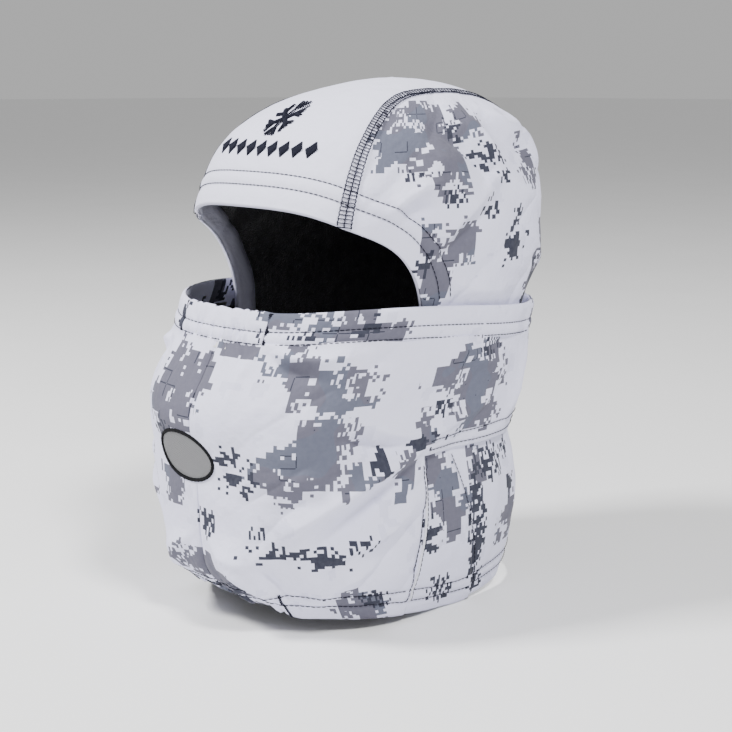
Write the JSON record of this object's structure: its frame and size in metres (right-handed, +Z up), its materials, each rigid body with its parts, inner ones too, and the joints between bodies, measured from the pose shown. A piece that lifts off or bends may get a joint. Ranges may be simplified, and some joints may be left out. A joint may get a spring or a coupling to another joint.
{
  "type": "face mask with hood",
  "caption": "Insulated snow-camo face mask with a sewn-on hood; the mask front pulls down from over the nose.",
  "frame": {"origin": "middle of the wearer's head at the height of the bridge of the nose (mount head)", "axes": "+Z up along the head, -Y the way the face looks, +X the wearer's left"},
  "size_m": [0.1866, 0.2489, 0.3125],
  "materials": {
    "camo_cloth": "matte snow digital camo print on padded cloth",
    "crown_cloth": "matte white padded cloth",
    "fleece": "black brushed fleece",
    "thread": "dark slate sewing thread",
    "elastic": "white woven elastic",
    "mesh": "fine grey knitted mesh",
    "binding": "black bound edge"
  },
  "bodies": {
    "hood": {"crown_panel": "crown_cloth", "side_panel_left": "camo_cloth", "side_panel_right": "camo_cloth", "hood_lining": "fleece", "brow_hem": "camo_cloth", "brow_hem_thread": "thread", "crown_seam_thread_left": "thread", "crown_seam_thread_right": "thread", "emblem": "thread", "chin_panel_left": "camo_cloth", "chin_panel_right": "camo_cloth", "neck_gusset_left": "camo_cloth", "neck_gusset_right": "camo_cloth", "nape_panel": "camo_cloth", "chin_hem": "camo_cloth", "nape_hem": "camo_cloth", "chin_elastic": "elastic", "chin_bar_tacks": "thread", "chin_hem_thread": "thread", "nape_hem_thread": "thread", "gusset_seam_thread_left": "thread", "gusset_seam_thread_right": "thread", "wing_left": "camo_cloth", "wing_band_left": "camo_cloth", "wing_elastic_left": "elastic", "wing_band_thread_left": "thread", "wing_hem_thread_left": "thread", "wing_right": "camo_cloth", "wing_band_right": "camo_cloth", "wing_elastic_right": "elastic", "wing_band_thread_right": "thread", "wing_hem_thread_right": "thread"},
    "mask": {"mask_front_left": "camo_cloth", "mask_front_right": "camo_cloth", "top_band": "camo_cloth", "nose_elastic": "elastic", "top_band_thread": "thread", "nose_bar_tacks": "thread", "mask_lining": "fleece", "vent_binding": "binding", "vent_mesh": "mesh"}
  },
  "joints": [
    {"name": "mask_pull_down", "type": "hinge", "parent": "hood", "child": "mask", "pos_m": [0, 0.06, -0.11], "axis": [1, 0, 0], "range_deg": [0, 21]}
  ]
}
